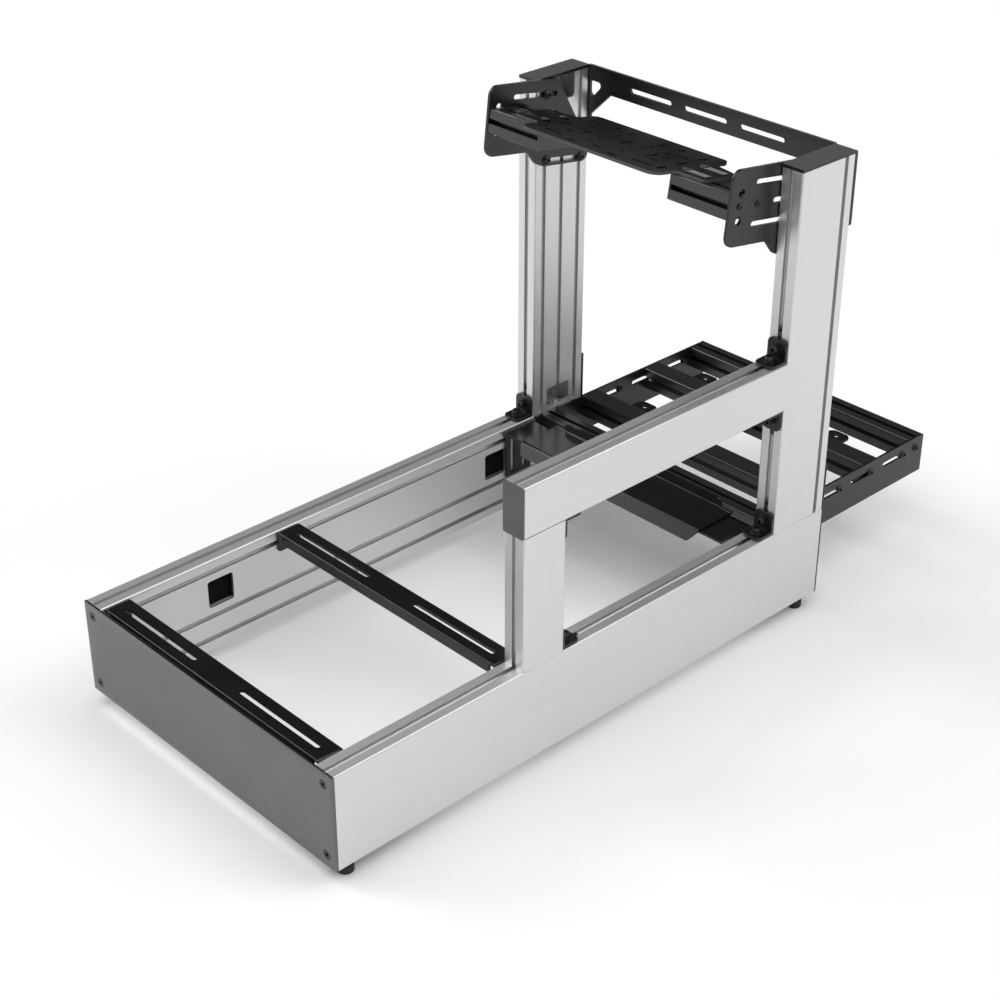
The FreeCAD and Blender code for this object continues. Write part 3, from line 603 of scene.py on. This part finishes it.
def seat_screws():
    for end in ("rear", "front"):
        low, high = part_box("seat_bracket_" + end)
        spot, level = (low.y + high.y) / 2, RAIL_HIGH.z - CELL / 2
        places = [((side * (INNER_FACE - SHEET), spot, level), (-side, 0, 0))
                  for side in SIDES.values()]
        fasten("seat_bracket_" + end, places, button_rings, washer=BLACK_STEEL)


# Screws and a slot nut of the wheel ears: forward and up from the top rear corner of the post
EAR_POST_SCREWS = ((20.0 * MM, -22.0 * MM), (20.0 * MM, -132.5 * MM), (100.0 * MM, -146.5 * MM))
EAR_NUT = (60.0 * MM, -140.5 * MM)


def ear_screws():
    nuts = bmesh.new()
    for hand, side in SIDES.items():
        inner = side * (INNER_FACE - EAR_THICK)
        places = [((inner, POST_LOW.y + forward, POST_HIGH.z + up), (-side, 0, 0))
                  for forward, up in EAR_POST_SCREWS]
        fasten("ear_post_" + hand, places, button_rings, washer=BLACK_STEEL)
        nut = (side * (INNER_FACE + NUT_BELOW + NUT_DEPTH / 2),
               POST_LOW.y + EAR_NUT[0], POST_HIGH.z + EAR_NUT[1])
        add_block(nuts, nut, (NUT_DEPTH, NUT_WIDTH, NUT_SPAN), EASE)
        low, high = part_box("wheel_stub_" + hand)
        middle = (low + high) / 2
        middle.x = side * INNER_FACE
        cores = [middle + way * CELL / 2 * DECK_AHEAD for way in (-1, 1)]
        fasten("ear_stub_" + hand, [(core, (side, 0, 0)) for core in cores], low_rings)
    finish_piece("ear_slot_nuts", nuts, BLACK_STEEL)


DECK_SCREW_ACROSS = 146 * MM
DECK_STRIP_ACROSS = 165 * MM
DECK_STRIP = (46 * MM, 13 * MM, 1.2 * MM)
DECK_STRIP_EASE = 0.4 * MM
# The left slot plates are black steel and the right ones grey: the black on the left is painted
# shade
DECK_STRIP_STEEL_AND_SHADE = {"left": BLACK_STEEL, "right": GREY_STEEL}


def deck_screws():
    """Screws through the deck's neck slots into the stub profiles, each with a slot plate."""
    places = []
    for hand, side in SIDES.items():
        strips = bmesh.new()
        low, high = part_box("wheel_stub_" + hand)
        middle = (low + high) / 2
        middle.x = 0
        for way in (-1, 1):
            face = middle + way * CELL / 2 * DECK_AHEAD + (CELL / 2 + DECK_THICK) * DECK_UP
            strip = face + Vector((side * DECK_STRIP_ACROSS, 0, 0)) + DECK_STRIP[2] / 2 * DECK_UP
            screw = face + Vector((side * DECK_SCREW_ACROSS, 0, 0)) + DECK_STRIP[2] * DECK_UP
            add_block(strips, strip, DECK_STRIP, DECK_STRIP_EASE, Matrix.Rotation(-LEAN, 4, "X"))
            places.append((screw, tuple(DECK_UP)))
        finish_piece("deck_slot_plates_" + hand, strips, DECK_STRIP_STEEL_AND_SHADE[hand])
    fasten("deck", places, button_rings)


# Screws in the front ends of the tray's slots, ahead of the rails' front ends
TRAY_SLOT_SCREWS = (98 * MM, 272 * MM)


def tray_screws():
    """Button screws into the cross bars' ends and in the side plates' slots."""
    bars = [sum(corner.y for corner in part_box("tray_bar_" + bar)) / 2
            for bar in ("front", "middle", "rear")]
    spots = bars + [RAIL_HIGH.y + ahead for ahead in TRAY_SLOT_SCREWS]
    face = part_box("tray_side_right")[1].x
    for hand, side in SIDES.items():
        places = [((side * face, spot, RAIL_HIGH.z - CELL / 2), (side, 0, 0)) for spot in spots]
        fasten("tray_" + hand, places, button_rings)


# Cable ports in the rails' inner walls: ahead of the rear end, and back from the front end
PORT_FROM_REAR = 214 * MM
PORT_FROM_FRONT = 210.5 * MM
# Black panels behind the ports stand in for the shade inside the rails: painted shade
PORT_SHADE_PANEL = (1 * MM, 64 * MM, 47 * MM)
PORT_SHADE_PANEL_DEPTH = 9 * MM
PORT_SHADE_PANEL_EASE = 0.2 * MM


def port_shade_panels():
    """Black panels in the rails' hollow, behind the cable ports: painted shade where the hollow is
    dark.
    """
    shape = bmesh.new()
    for side in SIDES.values():
        for spot in (RAIL_LOW.y + PORT_FROM_REAR, RAIL_HIGH.y - PORT_FROM_FRONT):
            at = (side * (INNER_FACE + PORT_SHADE_PANEL_DEPTH), spot, RAIL_LOW.z + 2.5 * CELL)
            add_block(shape, at, PORT_SHADE_PANEL, PORT_SHADE_PANEL_EASE)
    finish_piece("port_shade_panels", shape, HOLLOW_SHADE)


def pedal_tab_screws():
    for row in ("middle", "rear"):
        for hand in SIDES:
            tab = "pedal_tab_%s_%s" % (row, hand)
            low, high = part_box(tab)
            at = ((low.x + high.x) / 2, low.y + SHEET, RAIL_HIGH.z - CELL / 2)
            fasten(tab, [(at, (0, 1, 0))], button_rings)


bracket_screws()
seat_screws()
ear_screws()
deck_screws()
tray_screws()
port_shade_panels()
pedal_tab_screws()


# Studio

FLOOR_REACH = 15.0
FLOOR_TONE = grey(0.9)

# The world: white up to a low rise above the horizon, dim over a higher one
WHITE_BELOW, DIM_ABOVE = 0.09, 0.13
WORLD_WHITE, WORLD_DIM = grey(1.0), grey(0.06)

# Lamps: the way towards them, their power and their width in degrees
LAMPS = {"overhead": ((0.10, -0.10, 1), 2.22, 84),
         "key": ((-0.80, -0.38, 0.55), 1.28, 38),
         "fill": ((0.504, 0.592, 0.60), 0.75, 35)}

# The photograph's view: above the rear right corner
VIEW_FROM = (1.932007, -1.917767, 1.807255)
VIEW_AROUND = math.radians(46.643)
VIEW_ABOVE = math.radians(30.364)
VIEW_ROLL = math.radians(0.063)
VIEW_LENS = 71.177
VIEW_SENSOR = 36.0


def new_floor():
    """A plain pale floor that keeps the rig's shadow."""
    shape = bmesh.new()
    bmesh.ops.create_grid(shape, x_segments=1, y_segments=1, size=FLOOR_REACH)
    mesh = bpy.data.meshes.new("floor")
    shape.to_mesh(mesh)
    shape.free()
    floor = bpy.data.objects.new("floor", mesh)
    bpy.context.scene.collection.objects.link(floor)
    material, tree = new_finish("pale_floor")
    tree.surface(Base_Color=FLOOR_TONE, Roughness=0.9, Specular_IOR_Level=0.0)
    mesh.materials.append(material)


def light_world():
    """White near the horizon and dim overhead: the light comes from the lamps and the floor."""
    world = bpy.data.worlds.new("studio")
    bpy.context.scene.world = world
    tree = Tree(world)
    way = tree.node("ShaderNodeTexCoord", {}, {}, "Generated")
    dimness = tree.spread(tree.part(way, "Z"), WHITE_BELOW, DIM_ABOVE)
    background = tree.nodes["Background"].inputs
    tree.put(background["Color"], tree.blend(dimness, WORLD_WHITE, WORLD_DIM))
    tree.put(background["Strength"], 1.0)


def new_lamp(name, way, power, spread):
    """A wide, far and even light that comes from one way."""
    lamp = bpy.data.lights.new(name, "SUN")
    lamp.energy = power
    lamp.angle = math.radians(spread)
    holder = bpy.data.objects.new(name, lamp)
    bpy.context.scene.collection.objects.link(holder)
    holder.rotation_euler = Vector(way).to_track_quat("Z", "Y").to_euler()


def new_camera():
    out = math.cos(VIEW_ABOVE)
    back = Vector((math.sin(VIEW_AROUND) * out, -math.cos(VIEW_AROUND) * out, math.sin(VIEW_ABOVE)))
    across = Vector((math.cos(VIEW_AROUND), math.sin(VIEW_AROUND), 0.0))
    camera = bpy.data.cameras.new("camera")
    camera.lens = VIEW_LENS
    camera.sensor_width = VIEW_SENSOR
    holder = bpy.data.objects.new("camera", camera)
    bpy.context.scene.collection.objects.link(holder)
    turn = Matrix((across, back.cross(across), back)).transposed().to_4x4()
    roll = Matrix.Rotation(VIEW_ROLL, 4, "Z")
    holder.matrix_world = Matrix.Translation(VIEW_FROM) @ turn @ roll
    bpy.context.scene.camera = holder


new_floor()
light_world()
for name, (way, power, spread) in LAMPS.items():
    new_lamp(name, way, power, spread)
new_camera()
bpy.context.scene.view_settings.view_transform = "Standard"
